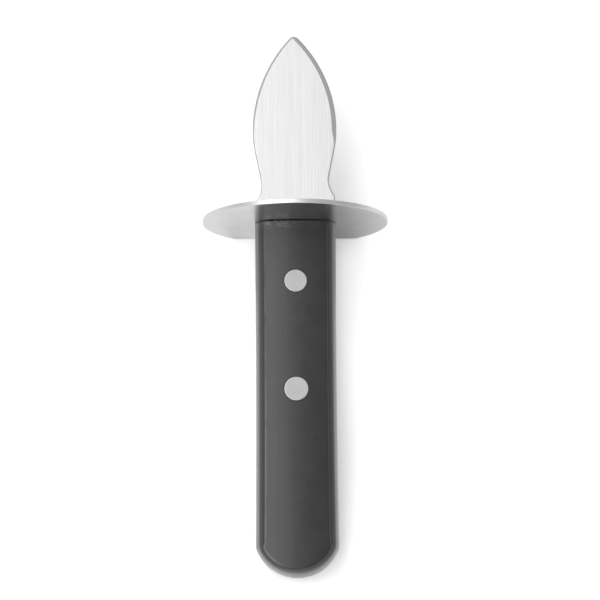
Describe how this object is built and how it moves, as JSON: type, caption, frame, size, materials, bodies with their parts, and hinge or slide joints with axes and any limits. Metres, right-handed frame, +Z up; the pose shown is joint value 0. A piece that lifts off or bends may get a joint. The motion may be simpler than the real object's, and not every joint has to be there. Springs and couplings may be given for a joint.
{
  "type": "oyster knife",
  "caption": "Oyster knife with a short spear blade, a round steel hand guard with a flat edge, and a moulded black handle held by flush rivets.",
  "frame": {"origin": "on the table, under the middle of the knife's length and width, with the knife lying at rest on its guard's flat edge and the butt of its handle", "axes": "+Y along the knife towards the blade's tip as seen from above, +Z up off the table, +X to the right seen from the handle. The knife's own axis rises 8.2 degrees from the butt to the tip"},
  "size_m": [0.0556, 0.1636, 0.0483],
  "materials": {
    "blade_steel": "stainless steel, finely brushed along the blade, ground bevels",
    "guard_steel": "stainless steel sheet, polished smooth",
    "handle_plastic": "moulded black plastic, satin",
    "rivet_metal": "light metal, sanded flush"
  },
  "bodies": {
    "root": {"blade": "blade_steel", "guard": "guard_steel", "handle": "handle_plastic", "front_rivet_tube": "rivet_metal", "front_rivet_stud": "rivet_metal", "rear_rivet_tube": "rivet_metal", "rear_rivet_stud": "rivet_metal"}
  },
  "joints": []
}
